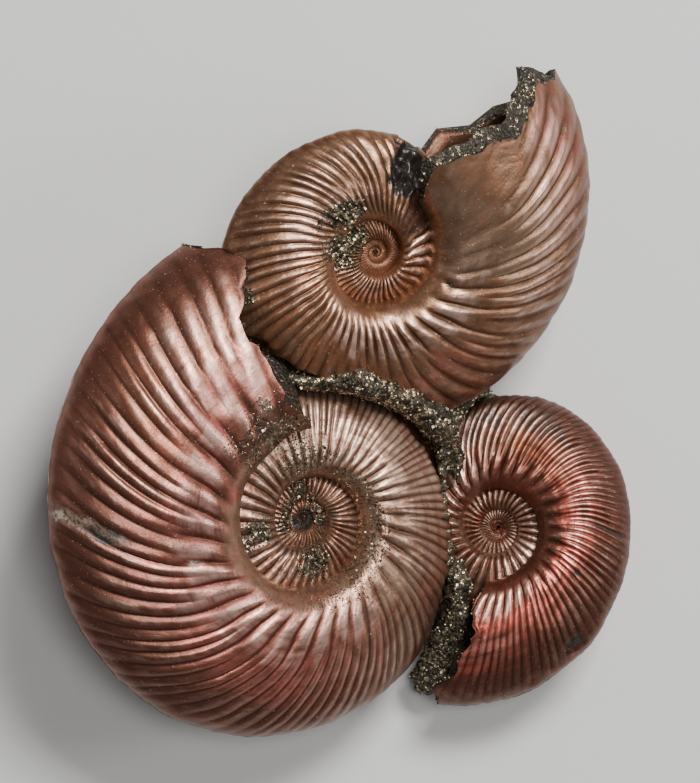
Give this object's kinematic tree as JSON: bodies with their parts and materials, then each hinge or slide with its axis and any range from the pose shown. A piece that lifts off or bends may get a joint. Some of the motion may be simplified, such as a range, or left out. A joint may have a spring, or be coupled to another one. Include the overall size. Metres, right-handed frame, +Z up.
{
  "type": "ammonite and pyrite concretion",
  "caption": "Cluster of coiled, ribbed ammonite fossils with a coppery mother-of-pearl shell, held together by granular pyrite and lying on its back.",
  "frame": {"origin": "centre of the bounding box in plan, on the plane the piece lies on", "axes": "+Z up out of the shells' shown faces, +Y towards the upper shell, +X towards the small shell"},
  "size_m": [0.1, 0.1143, 0.0508],
  "materials": {
    "large_shell": "rose-brown mother-of-pearl over stone",
    "upper_shell": "tan-copper mother-of-pearl over stone",
    "small_shell": "dark red mother-of-pearl over stone",
    "pyrite": "granular dark pyrite with small brassy glints"
  },
  "bodies": {
    "root": {"large_ammonite": "large_shell", "upper_ammonite": "upper_shell", "small_ammonite": "small_shell", "pyrite_matrix": "pyrite"}
  },
  "joints": []
}
